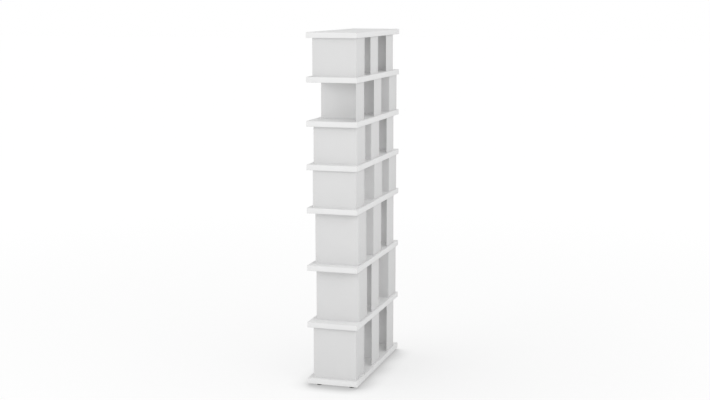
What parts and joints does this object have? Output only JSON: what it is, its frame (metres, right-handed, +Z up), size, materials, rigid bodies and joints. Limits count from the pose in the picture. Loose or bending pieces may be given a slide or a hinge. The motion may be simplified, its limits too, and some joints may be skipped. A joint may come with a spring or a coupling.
{
  "type": "tower bookshelf",
  "caption": "Tall open bookshelf of thick white boards stacked on staggered folded sheet uprights, open in front and part closed behind by strips, on levelling feet.",
  "frame": {"origin": "on the floor, under the middle of the boards", "axes": "+Z up, X along the boards, -Y towards the open front and +Y towards the rear strips"},
  "size_m": [0.9, 0.3, 2.036],
  "materials": {
    "board_white": "white satin lacquer on fibreboard",
    "upright_grey": "light grey matt powder coat",
    "foot_black": "black moulded, fine grained",
    "stem_steel": "zinc plated",
    "sleeve_brass": "turned"
  },
  "bodies": {
    "shelf": {"base_board": "board_white", "shelf_board_1": "board_white", "shelf_board_2": "board_white", "shelf_board_3": "board_white", "shelf_board_4": "board_white", "shelf_board_5": "board_white", "shelf_board_6": "board_white", "top_board": "board_white", "upright_1_right": "upright_grey", "upright_1_middle": "upright_grey", "upright_1_left": "upright_grey", "upright_2_right": "upright_grey", "upright_2_middle": "upright_grey", "upright_2_left": "upright_grey", "upright_3_right": "upright_grey", "upright_3_middle": "upright_grey", "upright_3_left": "upright_grey", "upright_4_right": "upright_grey", "upright_4_middle": "upright_grey", "upright_4_left": "upright_grey", "upright_5_right": "upright_grey", "upright_5_middle": "upright_grey", "upright_5_left": "upright_grey", "upright_6_right": "upright_grey", "upright_6_middle": "upright_grey", "upright_6_left": "upright_grey", "upright_7_right": "upright_grey", "upright_7_middle": "upright_grey", "upright_7_left": "upright_grey", "foot_sleeves": "sleeve_brass"},
    "foot_pad_front_right": {"foot_pad_front_right": "foot_black"},
    "foot_stem_front_right": {"foot_stem_front_right": "stem_steel"},
    "foot_pad_front_left": {"foot_pad_front_left": "foot_black"},
    "foot_stem_front_left": {"foot_stem_front_left": "stem_steel"},
    "foot_pad_rear_right": {"foot_pad_rear_right": "foot_black"},
    "foot_stem_rear_right": {"foot_stem_rear_right": "stem_steel"},
    "foot_pad_rear_left": {"foot_pad_rear_left": "foot_black"},
    "foot_stem_rear_left": {"foot_stem_rear_left": "stem_steel"}
  },
  "joints": [
    {"name": "foot_front_right_lift", "type": "slide", "parent": "shelf", "child": "foot_pad_front_right", "axis": [0, 0, 1], "range_m": [-0.008, 0]},
    {"name": "foot_front_right_turn", "type": "hinge", "parent": "foot_pad_front_right", "child": "foot_stem_front_right", "pos_m": [0.42, -0.086, 0.006], "axis": [0, 0, 1], "range_deg": [-2304, 0]},
    {"name": "foot_front_left_lift", "type": "slide", "parent": "shelf", "child": "foot_pad_front_left", "axis": [0, 0, 1], "range_m": [-0.008, 0]},
    {"name": "foot_front_left_turn", "type": "hinge", "parent": "foot_pad_front_left", "child": "foot_stem_front_left", "pos_m": [-0.42, -0.086, 0.006], "axis": [0, 0, 1], "range_deg": [-2304, 0]},
    {"name": "foot_rear_right_lift", "type": "slide", "parent": "shelf", "child": "foot_pad_rear_right", "axis": [0, 0, 1], "range_m": [-0.008, 0]},
    {"name": "foot_rear_right_turn", "type": "hinge", "parent": "foot_pad_rear_right", "child": "foot_stem_rear_right", "pos_m": [0.42, 0.11, 0.006], "axis": [0, 0, 1], "range_deg": [-2304, 0]},
    {"name": "foot_rear_left_lift", "type": "slide", "parent": "shelf", "child": "foot_pad_rear_left", "axis": [0, 0, 1], "range_m": [-0.008, 0]},
    {"name": "foot_rear_left_turn", "type": "hinge", "parent": "foot_pad_rear_left", "child": "foot_stem_rear_left", "pos_m": [-0.42, 0.11, 0.006], "axis": [0, 0, 1], "range_deg": [-2304, 0]}
  ],
  "couplings": [
    {"joint": "foot_front_right_lift", "follows": "foot_front_right_turn", "m_per_rad": 0.00019894},
    {"joint": "foot_front_left_lift", "follows": "foot_front_left_turn", "m_per_rad": 0.00019894},
    {"joint": "foot_rear_right_lift", "follows": "foot_rear_right_turn", "m_per_rad": 0.00019894},
    {"joint": "foot_rear_left_lift", "follows": "foot_rear_left_turn", "m_per_rad": 0.00019894}
  ]
}
